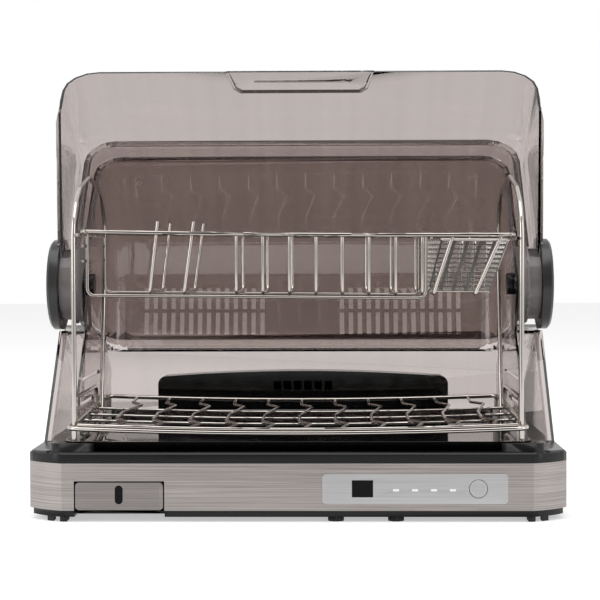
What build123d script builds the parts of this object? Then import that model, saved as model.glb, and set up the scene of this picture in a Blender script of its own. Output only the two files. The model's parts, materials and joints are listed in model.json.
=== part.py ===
from build123d import *
from math import cos, sin, tan, radians, atan2, degrees, hypot
import os

os.makedirs("parts", exist_ok=True)

# Electric dish dryer: a steel-banded base with a drip tray and a water drawer, a fixed smoked rear
# cover, a middle cover and a lid that nest round two side hubs, and wire racks on side arches.
# The frame stands at the centre of the footprint on the table, front towards -Y, lid open at rest.
# Lengths that start at the front of the base are called depths and grow towards +Y.

# Driving sizes of the base
base_width = 498.0
base_depth = 400.0
corner_along_x = 33.0
corner_along_y = 24.0
corner_bulge = 3.0
rear_corner = 24.0
table_gap = 4.5
band_bottom = 10.6
band_top = 54.0
rim_height = 10.0
wall = 2.5
sheet = 1.0
fit_gap = 0.3
shaft_gap = 0.05
overrun = 2.0

half_base = base_width / 2
front_y = -base_depth / 2
rear_y = base_depth / 2
rim_top = band_top + rim_height
pan_floor = table_gap + wall

# Hub, about which the middle cover and the lid turn
hub_depth = 188.0
hub_height = 214.0
panel_step = 2.5
cap_room = 4.0
lid_step = 12.0
middle_step = 9.5
nest_step = 10.0
hub_y = front_y + hub_depth
hub_pin_radius = 8.0

# Smoked covers: outer radius, outer half width, rounding between the wrap and the side walls
panel_half = half_base - panel_step
lid_half = panel_half - cap_room
middle_half = lid_half - lid_step
rear_half = middle_half - middle_step
lid_radius = 200.0
middle_radius = lid_radius - nest_step
rear_radius = middle_radius - nest_step
rear_round = 24.0
middle_round = 28.0
lid_round = 34.0
corner_chords = 4
disc_sides = 24
hub_sides = 36
small_disc_sides = 16
rear_rim_angle = 48.4
middle_front_angle = 52.7
middle_rear_angle = -20.6
lid_tail = 22.0
lid_reach = lid_radius + lid_tail
lid_edge_angle = 83.0
lid_rear_angle = -22.7
rim_flange = 4.5
catch_flange = 4.5
edge_lead = 20.0
lid_edge_lead = 22.0

# Lower side panels of the rear cover, laid out from the hub
panel_foot_run = 100.5
panel_head_run = 7.0
panel_head_drop = 47.0
saddle_run = 15.0
saddle_drop = 49.5
ledge_front_run = 34.0
ledge_front_drop = 43.0
ledge_rear_run = 163.0
ledge_rear_drop = 77.0
panel_rear_run = 184.0
panel_rear_drop = 102.0
panel_foot_depth = hub_depth - panel_foot_run
panel_head_depth = hub_depth - panel_head_run
panel_head_height = hub_height - panel_head_drop
saddle_depth = hub_depth + saddle_run
saddle_height = hub_height - saddle_drop
ledge_front_depth = hub_depth + ledge_front_run
ledge_front_height = hub_height - ledge_front_drop
ledge_rear_depth = hub_depth + ledge_rear_run
ledge_rear_height = hub_height - ledge_rear_drop
panel_rear_depth = hub_depth + panel_rear_run
panel_rear_height = hub_height - panel_rear_drop
flange_width = 8.0

# Drip tray
tray_side_room = 3.5
tray_half = rear_half - tray_side_room
tray_front_depth = 19.0
tray_length = 311.0
tray_lip_height = 72.0
tray_wall = 1.8
tray_corner = 14.0
deck_floor = 8.0
deck_skin = 4.0
tray_rest = band_top + deck_floor
tray_top_of_floor = tray_rest + fit_gap + tray_wall

# Racks
rail_radius = 2.2
rod_radius = 1.5
rack_side_room = 4.9
rack_half = tray_half - rack_side_room
rack_front_depth = 20.0
rack_length = 264.0
rack_front_height = 84.0
rack_rise = 7.0
rack_sag = 4.5
upper_sag = 4.0
sag_shares = (0, 0.33, 0.66, 1)
wire_sides = 8
mitre_limit = 25
rack_front_y = front_y + rack_front_depth
rack_rear_y = rack_front_y + rack_length


def at(depth):
    return front_y + depth


def hub_point(radius, angle):
    return (hub_y + radius * cos(radians(angle)), hub_height + radius * sin(radians(angle)))


def base_outline(inset):
    side = half_base - inset
    front = front_y + inset
    rear = rear_y - inset
    chord = hypot(corner_along_x, corner_along_y)
    sweep_radius = (chord ** 2 / 4 + corner_bulge ** 2) / (2 * corner_bulge)
    inward = (sweep_radius - corner_bulge) / chord
    centre_x = half_base - corner_along_x / 2 - corner_along_y * inward
    centre_y = front_y + corner_along_y / 2 + corner_along_x * inward
    radius = sweep_radius - inset
    start_x = centre_x + (radius ** 2 - (centre_y - front) ** 2) ** 0.5
    end_y = centre_y - (radius ** 2 - (side - centre_x) ** 2) ** 0.5
    bulge_x = centre_x + radius * corner_along_y / chord
    bulge_y = centre_y - radius * corner_along_x / chord
    back_x = half_base - rear_corner
    back_y = rear_y - rear_corner
    with BuildLine() as outline:
        Line((-start_x, front), (start_x, front))
        ThreePointArc((start_x, front), (bulge_x, bulge_y), (side, end_y))
        Line((side, end_y), (side, back_y))
        CenterArc((back_x, back_y), rear_corner - inset, 0, 90)
        Line((back_x, rear), (-back_x, rear))
        CenterArc((-back_x, back_y), rear_corner - inset, 90, 90)
        Line((-side, back_y), (-side, end_y))
        ThreePointArc((-side, end_y), (-bulge_x, bulge_y), (-start_x, front))
    make_face(outline.edges())


def base_slab(inset, low, high, mode=Mode.ADD):
    with BuildSketch(Plane.XY.offset(low)) as plan:
        base_outline(inset)
    extrude(plan.sketch, amount=high - low, mode=mode)


def block(x1, x2, y1, y2, z1, z2, mode=Mode.ADD):
    with Locations(((x1 + x2) / 2, (y1 + y2) / 2, (z1 + z2) / 2)):
        Box(x2 - x1, y2 - y1, z2 - z1, mode=mode)


def bent_wire(radius, bend, *corners):
    places = [Vector(*corners[0])]
    for before, corner, after in zip(corners, corners[1:], corners[2:]):
        arrive = (Vector(*corner) - Vector(*before)).normalized()
        leave = (Vector(*after) - Vector(*corner)).normalized()
        turn = arrive.get_angle(leave)
        if turn < mitre_limit:
            places.append(Vector(*corner))
        else:
            cut = bend * tan(radians(turn / 2))
            places.append(Vector(*corner) - arrive * cut)
            places.append(Vector(*corner) + leave * cut)
    places.append(Vector(*corners[-1]))
    with BuildLine() as route:
        Polyline(*places)
    with BuildSketch(Plane(origin=places[0], z_dir=places[1] - places[0])) as section:
        RegularPolygon(radius, wire_sides, major_radius=False, rotation=180 / wire_sides)
    sweep(section.sketch, path=route.line, transition=Transition.RIGHT)


def sag(x, half, drop):
    share = abs(x) / half
    for near, away in zip(sag_shares, sag_shares[1:]):
        if share <= away:
            return drop * (1 - near ** 2 - (share - near) * (near + away))
    return 0


def sagging_bar(half, depth, height, drop, end):
    knots = [share * half for share in sag_shares if share * half < end] + [end]
    return [(-x, at(depth), height - sag(x, half, drop)) for x in reversed(knots[1:])] + \
        [(x, at(depth), height - sag(x, half, drop)) for x in knots]


def rack_rim(radius, bend, half, front, rear, height, drop):
    middle = (front + rear) / 2
    for depth in (front, rear):
        bent_wire(radius, bend, (-half, at(middle), height(middle)),
                  *sagging_bar(half, depth, height(depth), drop, half), (half, at(middle), height(middle)))


def wall_outline(half, height, rounding):
    places = [(half, 0)]
    for chord in range(corner_chords + 1):
        turn = radians(90 * chord / corner_chords)
        places.append((half - rounding + rounding * cos(turn), height - rounding + rounding * sin(turn)))
    places += [(-x, z) for x, z in reversed(places)]
    with BuildLine() as outline:
        Polyline(*places, close=True)
    return outline.edges()


def drum(radius, half, rounding, mode=Mode.ADD):
    plane = Plane((0, hub_y, hub_height), x_dir=(1, 0, 0), z_dir=(0, -1, 0))
    with BuildSketch(plane) as section:
        make_face(wall_outline(half, radius, rounding))
    revolve(section.sketch, axis=Axis((0, hub_y, hub_height), (1, 0, 0)), mode=mode)


def soft_rectangle(x, y, width, length, rounding):
    with BuildLine() as outline:
        places = []
        for side_x, side_y, start in ((1, 1, 0), (-1, 1, 90), (-1, -1, 180), (1, -1, 270)):
            for chord in range(corner_chords):
                turn = radians(start + 90 * chord / (corner_chords - 1))
                places.append((x + side_x * (width / 2 - rounding) + rounding * cos(turn),
                               y + side_y * (length / 2 - rounding) + rounding * sin(turn)))
        Polyline(*places, close=True)
    return outline.edges()


def side_prism(half, *outline, mode=Mode.INTERSECT):
    with BuildSketch(Plane.YZ) as profile:
        with BuildLine() as edge:
            Polyline(*outline, close=True)
        make_face(edge.edges())
    extrude(profile.sketch, amount=half, both=True, mode=mode)


def hub_disc(x1, x2, radius, mode=Mode.ADD, sides=0):
    for side in (-1, 1):
        with BuildSketch(Plane.YZ.offset(side * x1)) as face:
            with Locations((hub_y, hub_height)):
                if sides:
                    RegularPolygon(radius, sides)
                else:
                    Circle(radius)
        extrude(face.sketch, amount=side * (x2 - x1), mode=mode)


def strip_along(p, q, lead, reach, thickness):
    length = hypot(q[0] - p[0], q[1] - p[1])
    ux = (q[0] - p[0]) / length
    uz = (q[1] - p[1]) / length
    start = (p[0] + ux * lead, p[1] + uz * lead)
    tip = (q[0] + ux * reach, q[1] + uz * reach)
    across = (uz * thickness, -ux * thickness)
    return (start, tip, (tip[0] + across[0], tip[1] + across[1]),
            (start[0] + across[0], start[1] + across[1]))


def finish(piece, name):
    piece.part.label = name
    export_step(piece.part, f"parts/{name}.step")


# Drawer and control plate places on the front
drawer_left = -203.4
drawer_width = 80.6
drawer_bottom = 11.2
drawer_height = 25.3
drawer_gap = 1.6
drawer_corner = 3.6
drawer_length = 120.0
bay_room = 6.0
drawer_right = drawer_left + drawer_width
drawer_top = drawer_bottom + drawer_height
plate_left = 23.1
plate_width = 169.5
plate_bottom = 16.9
plate_height = 27.9
plate_corner = 3.6
plate_thickness = 0.8
plate_right = plate_left + plate_width
plate_top = plate_bottom + plate_height
plate_middle = plate_bottom + plate_height / 2
button_radius = 8.6
button_from_right = 27.1
button_x = plate_right - button_from_right

# Bottom pan: floor, walls behind the steel band, the drawer bay and its two runners
pan_inset = sheet + fit_gap
skirt_inset = 3.0
bay_wall = 2.0
bay_gap = 1.2
bay_left = drawer_left - bay_gap
bay_right = drawer_right + bay_gap
bay_roof = drawer_top + bay_gap
bay_depth = drawer_length + bay_room
notch_depth = 22.0
runner_width = 5.0
runner_inset = 12.0
runner_top = drawer_bottom + wall
inlet_radius = 7.0
inlet_x = -180.0
inlet_z = 32.0
board_slot = 3.0
with BuildPart() as base_pan:
    base_slab(skirt_inset, table_gap, band_bottom)
    base_slab(pan_inset, band_bottom, band_top)
    base_slab(pan_inset + wall, pan_floor, band_top, Mode.SUBTRACT)
    block(bay_left - bay_wall, bay_right + bay_wall, at(pan_inset + wall / 2), at(bay_depth + bay_wall),
          pan_floor - wall / 2, bay_roof + bay_wall)
    block(bay_left, bay_right, at(-overrun), at(bay_depth), pan_floor, bay_roof, Mode.SUBTRACT)
    block(bay_left, bay_right, at(-overrun), at(notch_depth), 0, band_bottom, Mode.SUBTRACT)
    for runner_x in (bay_left + runner_inset, bay_right - runner_inset):
        block(runner_x - runner_width / 2, runner_x + runner_width / 2, at(notch_depth), at(bay_depth),
              pan_floor - wall / 2, runner_top)
    block(plate_left + plate_corner, plate_right - plate_corner, at(-overrun),
          at(pan_inset + wall + overrun),
          plate_bottom, plate_top, Mode.SUBTRACT)
    with BuildSketch(Plane.XZ.offset(-rear_y)):
        with Locations((inlet_x, inlet_z)):
            Circle(inlet_radius)
    extrude(amount=pan_inset + wall + overrun, both=True, mode=Mode.SUBTRACT)
finish(base_pan, "base_pan")

# Steel band wrapped round the front and both sides
with BuildPart() as steel_band:
    base_slab(0, band_bottom, band_top)
    base_slab(sheet, band_bottom, band_top, Mode.SUBTRACT)
    block(-half_base, half_base, rear_y - rear_corner, rear_y + overrun, 0, band_top + overrun,
          Mode.SUBTRACT)
    with BuildSketch(Plane.XZ.offset(-front_y)):
        with Locations(((bay_left + bay_right) / 2, (drawer_bottom - drawer_gap + bay_roof) / 2)):
            Rectangle(bay_right - bay_left, bay_roof - drawer_bottom + drawer_gap)
        with Locations((button_x, plate_middle)):
            Circle(button_radius)
    extrude(amount=corner_along_y / 2, both=True, mode=Mode.SUBTRACT)
finish(steel_band, "steel_band")

# Top deck: rim, tray well, raised front corner blocks, side rests under the cover, outlet opening
deck_round = 2.2
well_side_room = 0.8
well_front_room = 2.5
well_rear_room = 3.0
well_half = tray_half + well_side_room
well_front = tray_front_depth - well_front_room
well_rear = tray_front_depth + tray_length + well_rear_room
groove_front = 8.0
groove_drop = 2.5
block_drop = 1.0
block_width = 42.0
block_reach = 11.5
block_top = tray_lip_height - block_drop
block_outer = tray_half + block_reach
block_inner = block_outer - block_width
block_front = 9.0
block_rear = 44.0
block_round = 12.0
duct_half = 44.0
duct_front_depth = 342.0
duct_rear_depth = 363.0
drain_x = (drawer_left + drawer_right) / 2
drain_depth = 66.0
drain_radius = 7.0
with BuildPart() as top_deck:
    base_slab(0, band_top, rim_top)
    chamfer(top_deck.edges().group_by(Axis.Z)[-1], deck_round)
    block(-block_outer, block_outer, at(groove_front), at(well_front + overrun), rim_top - groove_drop,
          rim_top + overrun, Mode.SUBTRACT)
    for side in (-1, 1):
        with BuildSketch(Plane.XY.offset(rim_top - groove_drop)):
            with Locations((side * (block_inner + block_outer) / 2, at((block_front + block_rear) / 2))):
                RectangleRounded(block_outer - block_inner, block_rear - block_front, block_round)
        extrude(amount=block_top - rim_top + groove_drop)
    with BuildSketch(Plane.XY.offset(tray_rest)):
        make_face(soft_rectangle(0, at((well_front + well_rear) / 2), 2 * well_half, well_rear - well_front,
                                 tray_corner + well_half - tray_half))
    extrude(amount=block_top, mode=Mode.SUBTRACT)
    block(-duct_half, duct_half, at(duct_front_depth), at(duct_rear_depth), band_top - overrun,
          rim_top + overrun, Mode.SUBTRACT)
    block(deck_skin - well_half, well_half - deck_skin, at(well_front + deck_skin), at(well_rear - deck_skin),
          band_top - overrun, tray_rest - deck_skin, Mode.SUBTRACT)
    with Locations((drain_x, at(drain_depth), tray_rest)):
        Hole(drain_radius)
finish(top_deck, "top_deck")

# Rubber feet: a ribbed pair under each front corner, round ones along the front and at the rear
prong_width = 6.5
prong_pitch = 12.6
prong_length = 17.0
corner_foot_x = 221.3
corner_foot_depth = 3.0
foot_inset = 3.4
round_foot_radius = 7.4
round_foot_places = ((35.6, 12.0), (90.9, 12.0), (-205.0, 345.0), (205.0, 345.0))
with BuildPart() as rubber_feet:
    for side in (-1, 1):
        for step in (-1, 1):
            foot_x = side * corner_foot_x + step * prong_pitch / 2
            block(foot_x - prong_width / 2, foot_x + prong_width / 2, at(corner_foot_depth),
                  at(corner_foot_depth + prong_length), 0, table_gap)
    with BuildSketch():
        for foot_x, foot_depth in round_foot_places:
            with Locations((foot_x, at(foot_depth))):
                RegularPolygon(round_foot_radius, small_disc_sides)
    extrude(amount=table_gap)
    base_slab(foot_inset, 0, table_gap, Mode.INTERSECT)
finish(rubber_feet, "rubber_feet")

# Control plate on the band with its window, lamp lenses and button, and the board behind
window_left = 50.1
window_width = 19.4
window_bottom = 23.1
window_height = 15.7
lamp_first_x = 90.4
lamp_pitch = 17.3
lamp_count = 4
lamp_width = 5.5
lamp_height = 2.0
lamp_z = 29.6
lens_depth = 2.2
plate_back = at(0)
lens_back = at(lens_depth)
plate_front = at(-plate_thickness)
with BuildPart() as control_plate:
    with BuildSketch(Plane.XZ.offset(-plate_back)):
        with Locations(((plate_left + plate_right) / 2, plate_middle)):
            RectangleRounded(plate_width, plate_height, plate_corner)
        with Locations((window_left + window_width / 2, window_bottom + window_height / 2)):
            Rectangle(window_width, window_height, mode=Mode.SUBTRACT)
        for lamp in range(lamp_count):
            with Locations((lamp_first_x + lamp * lamp_pitch, lamp_z)):
                Rectangle(lamp_width, lamp_height, mode=Mode.SUBTRACT)
        with Locations((button_x, plate_middle)):
            Circle(button_radius, mode=Mode.SUBTRACT)
    extrude(amount=plate_thickness)
finish(control_plate, "control_plate")

with BuildPart() as display_window:
    with BuildSketch(Plane.XZ.offset(-plate_back)):
        with Locations((window_left + window_width / 2, window_bottom + window_height / 2)):
            Rectangle(window_width, window_height)
    extrude(amount=plate_thickness)
finish(display_window, "display_window")

with BuildPart() as lamp_lenses:
    with BuildSketch(Plane.XZ.offset(-plate_back)):
        for lamp in range(lamp_count):
            with Locations((lamp_first_x + lamp * lamp_pitch, lamp_z)):
                Rectangle(lamp_width, lamp_height)
    extrude(amount=plate_thickness)
finish(lamp_lenses, "lamp_lenses")

button_gap = 0.35
button_proud = 0.6
button_stem = 6.0
button_travel = 0.8
stem_radius = 3.0
with BuildPart() as select_button:
    with BuildSketch(Plane.XZ.offset(-lens_back)):
        with Locations((button_x, plate_middle)):
            Circle(button_radius - button_gap)
    extrude(amount=lens_depth + plate_thickness + button_proud)
    chamfer(select_button.edges().group_by(Axis.Y)[0], button_proud)
    with BuildSketch(Plane.XZ.offset(-lens_back)):
        with Locations((button_x, plate_middle)):
            Circle(stem_radius)
    extrude(amount=-button_stem)
finish(select_button, "select_button")

board_thickness = 1.6
board_rise = 4.0
board_depth = lens_depth + button_stem + button_travel + board_rise
switch_width = 6.0
with BuildPart() as control_board:
    block(plate_left, plate_right, at(board_depth), at(board_depth + board_thickness), pan_floor,
          plate_top + board_rise)
    block(button_x - switch_width / 2, button_x + switch_width / 2,
          at(lens_depth + button_stem + button_travel + fit_gap), at(board_depth),
          plate_middle - switch_width / 2, plate_middle + switch_width / 2)
    block(window_left, window_left + window_width, at(board_depth - board_rise), at(board_depth),
          window_bottom,
          window_bottom + window_height)
finish(control_board, "control_board")

# Water drawer with its steel face and sight window
face_thickness = 1.2
drawer_wall = 2.0
drawer_inset = 2.2
sight_x = -163.4
sight_width = 7.3
sight_height = 17.2
sight_bottom = 16.6
drawer_floor = runner_top + fit_gap
with BuildPart() as drawer_face:
    with BuildSketch(Plane.XZ.offset(-at(face_thickness))):
        with Locations(((drawer_left + drawer_right) / 2, drawer_bottom + drawer_height / 2)):
            RectangleRounded(drawer_width, drawer_height, drawer_corner)
        with Locations((sight_x, sight_bottom + sight_height / 2)):
            SlotOverall(sight_height, sight_width, rotation=90, mode=Mode.SUBTRACT)
    extrude(amount=face_thickness)
finish(drawer_face, "drawer_face")

with BuildPart() as water_drawer:
    block(drawer_left + drawer_inset, drawer_right - drawer_inset, at(face_thickness), at(drawer_length),
          drawer_floor, drawer_top - drawer_inset)
    block(drawer_left + drawer_inset + drawer_wall, drawer_right - drawer_inset - drawer_wall,
          at(face_thickness + drawer_wall), at(drawer_length - drawer_wall), drawer_floor + drawer_wall,
          drawer_top, Mode.SUBTRACT)
    with BuildSketch(Plane.XZ.offset(-at(face_thickness))):
        with Locations((sight_x, sight_bottom + sight_height / 2)):
            SlotOverall(sight_height, sight_width, rotation=90)
    extrude(amount=-drawer_wall, mode=Mode.SUBTRACT)
finish(water_drawer, "water_drawer")

with BuildPart() as sight_window:
    with BuildSketch(Plane.XZ.offset(-at(face_thickness + drawer_wall))):
        with Locations((sight_x, sight_bottom + sight_height / 2)):
            SlotOverall(sight_height, sight_width, rotation=90)
    extrude(amount=face_thickness / 2 + drawer_wall)
finish(sight_window, "sight_window")

# Drip tray: shallow smoked moulding with a rolled lip and a drain spout
lip_width = 3.6
lip_thickness = 1.6
spout_radius = 4.5
spout_drop = 3.0
tray_base = tray_rest + fit_gap
with BuildPart() as drip_tray:
    with BuildSketch(Plane.XY.offset(tray_base)):
        make_face(soft_rectangle(0, at(tray_front_depth + tray_length / 2), 2 * (tray_half - lip_width),
                                 tray_length - 2 * lip_width, tray_corner - lip_width))
    extrude(amount=tray_lip_height - tray_base)
    with BuildSketch(Plane.XY.offset(tray_lip_height - lip_thickness)):
        make_face(soft_rectangle(0, at(tray_front_depth + tray_length / 2), 2 * tray_half, tray_length,
                                 tray_corner))
    extrude(amount=lip_thickness)
    with BuildSketch(Plane.XY.offset(tray_base + tray_wall)):
        make_face(soft_rectangle(0, at(tray_front_depth + tray_length / 2),
                                 2 * (tray_half - lip_width - tray_wall),
                                 tray_length - 2 * (lip_width + tray_wall),
                                 tray_corner - lip_width - tray_wall))
    extrude(amount=tray_lip_height, mode=Mode.SUBTRACT)
    with BuildSketch(Plane.XY.offset(tray_base - spout_drop)):
        with Locations((drain_x, at(drain_depth))):
            Circle(spout_radius)
    extrude(amount=spout_drop + tray_wall / 2)
    with Locations((drain_x, at(drain_depth), tray_lip_height)):
        Hole(spout_radius - tray_wall)
finish(drip_tray, "drip_tray")

# Fixed rear cover: a smoked wrap round the hubs that widens into two lower side panels
def panel_outline(foot_height):
    slope = (panel_head_height - rim_top) / (panel_head_depth - panel_foot_depth)
    foot = (at(panel_foot_depth - (rim_top - foot_height) / slope), foot_height)
    head = (at(panel_head_depth), panel_head_height)
    with BuildLine() as edge:
        Line(foot, head)
        saddle = ThreePointArc(head, (at(saddle_depth), saddle_height),
                               (at(ledge_front_depth), ledge_front_height))
        Line(saddle @ 1, (at(ledge_rear_depth), ledge_rear_height))
        Line((at(ledge_rear_depth), ledge_rear_height), (at(panel_rear_depth), panel_rear_height))
        Line((at(panel_rear_depth), panel_rear_height), (at(panel_rear_depth), foot_height))
        Line((at(panel_rear_depth), foot_height), foot)
    return edge.edges()


rear_edge_top = hub_point(rear_radius, rear_rim_angle)
rear_edge_low = (hub_y - edge_lead, hub_height)
wrap_foot_drop = 114.0
wrap_foot = hub_height - wrap_foot_drop
far = 2 * lid_radius
slot_pitch = 10.1
slot_count = 14
slot_width = 5.0
slot_rows = ((154.3, 178.0), (182.5, 205.6))
slot_group_x = (-111.4, 109.7)
boss_gap = 0.4
middle_boss_radius = 38.0
lid_boss_radius = 36.0
flange_clear = 1.0
middle_inner = middle_half - wall
lid_inner = lid_half - wall
bore_radius = hub_pin_radius + shaft_gap
rear_inner = rear_half - wall
pocket_slots = ((148.0, 273.0, 117.0, 121.0), (142.0, 228.0, 93.0, 97.0))

with BuildPart() as wrap_body:
    drum(rear_radius, rear_half, rear_round)
    side_prism(rear_half + overrun, rear_edge_top, rear_edge_low, (at(panel_head_depth), panel_head_height),
               (at(panel_head_depth), wrap_foot), (hub_y + far, wrap_foot), (hub_y + far, hub_height + far))

with BuildPart() as rear_rim:
    drum(rear_radius + rim_flange, rear_half + rim_flange, rear_round + rim_flange)
    side_prism(rear_half + rim_flange + overrun,
               *strip_along(rear_edge_low, rear_edge_top, 0, rim_flange + overrun, wall))
    hub_disc(0, rear_half + rim_flange + overrun, middle_boss_radius + flange_clear, Mode.SUBTRACT,
             hub_sides)

with BuildPart() as rear_cover:
    with BuildSketch(Plane.YZ):
        make_face(panel_outline(rim_top))
    extrude(amount=panel_half, both=True)
    add(wrap_body.part)
    add(rear_rim.part)
    drum(rear_radius - wall, rear_half - wall, rear_round - wall, Mode.SUBTRACT)
    with BuildSketch(Plane.YZ) as hollow:
        make_face(panel_outline(rim_top - 2 * wall))
        offset(amount=-wall)
    extrude(hollow.sketch, amount=rear_inner, both=True, mode=Mode.SUBTRACT)
    for side in (-1, 1):
        with BuildSketch(Plane.YZ.offset(side * rear_half)) as pocket:
            make_face(panel_outline(rim_top - 2 * wall))
            offset(amount=-wall)
        extrude(pocket.sketch, amount=side * (panel_half - wall - rear_half), mode=Mode.SUBTRACT)
    for low_x, high_x in ((0, rear_inner), (rear_half, panel_half - flange_width)):
        for side in (-1, 1):
            block(min(side * low_x, side * high_x), max(side * low_x, side * high_x),
                  at(panel_foot_depth - overrun), at(panel_head_depth + overrun), rim_top - overrun,
                  panel_head_height + overrun, Mode.SUBTRACT)
    for slot_front, slot_rear, slot_low, slot_high in pocket_slots:
        for side in (-1, 1):
            block(min(side * (rear_inner - overrun), side * (rear_half + overrun)),
                  max(side * (rear_inner - overrun),
                      side * (rear_half + overrun)), at(slot_front), at(slot_rear),
                  slot_low, slot_high, Mode.SUBTRACT)
    hub_disc(rear_half - wall - overrun, rear_half + overrun, bore_radius, Mode.SUBTRACT)
    for group_x in slot_group_x:
        for low, high in slot_rows:
            with Locations((group_x, hub_y + rear_radius, (low + high) / 2)):
                with GridLocations(slot_pitch, 0, slot_count, 1):
                    Box(slot_width, 2 * rear_round, high - low, mode=Mode.SUBTRACT)
finish(rear_cover, "rear_cover")

# Middle cover: nests between the rear cover and the lid, with a rim in front and a catch behind
middle_edge_top = hub_point(middle_radius, middle_front_angle)
middle_edge_low = (hub_y - edge_lead, hub_height)
middle_rim = 5.0
middle_boss_disc = 40.0
catch_inset = 40.0
catch_half = middle_half - catch_inset
with BuildPart() as middle_rim_part:
    drum(middle_radius + middle_rim, middle_half + middle_rim, middle_round + middle_rim)
    side_prism(middle_half + middle_rim + overrun,
               *strip_along(middle_edge_low, middle_edge_top, 0, middle_rim + overrun, wall))
    hub_disc(0, middle_half + middle_rim + overrun, middle_boss_disc + flange_clear, Mode.SUBTRACT,
             hub_sides)

with BuildPart() as middle_catch:
    drum(middle_radius - wall / 2, middle_half, middle_round)
    drum(middle_radius - wall - catch_flange, middle_half + overrun, middle_round, Mode.SUBTRACT)
    side_prism(catch_half, *strip_along(hub_point(0, 0), hub_point(far, middle_rear_angle), 0, 0, -wall))

with BuildPart() as middle_cover:
    drum(middle_radius, middle_half, middle_round)
    side_prism(middle_half + overrun, middle_edge_top, middle_edge_low, (hub_y, hub_height),
               hub_point(far, middle_rear_angle), (hub_y + far, hub_height + far))
    hub_disc(middle_inner, middle_half, middle_boss_disc, Mode.ADD, hub_sides)
    add(middle_rim_part.part)
    drum(middle_radius - wall, middle_inner, middle_round - wall, Mode.SUBTRACT)
    add(middle_catch.part)
    hub_disc(rear_half + boss_gap, middle_half, middle_boss_radius, Mode.ADD, hub_sides)
    hub_disc(rear_half - overrun, middle_half + overrun, bore_radius, Mode.SUBTRACT)
finish(middle_cover, "middle_cover")

# Lid: round back, then straight and tangent to its free edge, with a finger tab and side rims
lid_end = hub_point(lid_reach, lid_edge_angle)
lid_run = (lid_reach ** 2 - lid_radius ** 2) ** 0.5
tangent_angle = lid_edge_angle - degrees(atan2(lid_run, lid_radius))
lid_corner_run = 29.3
lid_corner_drop = 21.4
lid_corner = (hub_y - lid_corner_run, hub_height + lid_radius - lid_corner_drop)
lid_edge_low = (hub_y - lid_edge_lead, hub_height)
lid_rim = 2.5
cap_radius = 46.0
grip_length = 32.7
grip_edge_width = 148.0
grip_deep_width = 136.0
grip_rise = 4.0
grip_edge_rise = 0.6
grip_corner = 7.0
ridge_width = 97.0
ridge_place = 19.0
ridge_thickness = 1.6
ridge_height = 1.2
catch_room = 42.5
lid_catch_half = lid_half - catch_room
edge_slope = atan2(lid_end[1] - lid_corner[1], lid_end[0] - lid_corner[0])
lid_end_out = (lid_end[0] + edge_lead * cos(edge_slope), lid_end[1] + edge_lead * sin(edge_slope))


def lid_body(radius, half, rounding, length, mode=Mode.ADD):
    drum(radius, half, rounding, mode)
    turn = radians(tangent_angle)
    with BuildSketch(Plane((0, hub_y, hub_height), x_dir=(1, 0, 0), 
                           z_dir=(0, -sin(turn), cos(turn)))) as section:
        make_face(wall_outline(half, radius, rounding))
    extrude(section.sketch, amount=length, mode=mode)


def grip_place(back, out):
    turn = radians(tangent_angle)
    return (lid_end[0] + back * sin(turn) + out * cos(turn),
            lid_end[1] - back * cos(turn) + out * sin(turn))


def grip_part(widen, lengthen, *profile):
    turn = radians(tangent_angle)
    with BuildPart() as piece:
        with BuildSketch(Plane((0, lid_end[0], lid_end[1]), x_dir=(1, 0, 0),
                               z_dir=(0, cos(turn), sin(turn)))) as plan:
            half_edge = grip_edge_width / 2 + widen
            half_deep = grip_deep_width / 2 + widen
            deep = grip_length + lengthen
            with BuildLine() as outline:
                Polyline((-half_edge, -overrun), (half_edge, -overrun), (half_edge, 0),
                         (half_deep, deep - grip_corner), (half_deep - grip_corner, deep),
                         (grip_corner - half_deep, deep), (-half_deep, deep - grip_corner),
                         (-half_edge, 0), close=True)
            make_face(outline.edges())
        extrude(plan.sketch, amount=lid_round, both=True)
        side_prism(lid_half, *[grip_place(back, out) for back, out in profile])
    return piece.part


lid_region = (lid_end_out, lid_corner, lid_edge_low, (hub_y, hub_height), hub_point(far, lid_rear_angle),
              (hub_y + far, hub_height + far))

with BuildPart() as lid_rim_part:
    lid_body(lid_radius + lid_rim, lid_half + lid_rim, lid_round + lid_rim, lid_run)
    side_prism(lid_half + lid_rim + overrun, *strip_along(lid_edge_low, lid_corner, 0, 0, wall))
    hub_disc(0, lid_half + lid_rim + overrun, cap_radius + flange_clear, Mode.SUBTRACT, hub_sides)

with BuildPart() as lid_catch:
    drum(lid_radius - wall / 2, lid_half, lid_round)
    drum(lid_radius - wall - catch_flange, lid_half + overrun, lid_round, Mode.SUBTRACT)
    side_prism(lid_catch_half, *strip_along(hub_point(0, 0), hub_point(far, lid_rear_angle), 0, 0, -wall))

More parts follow.
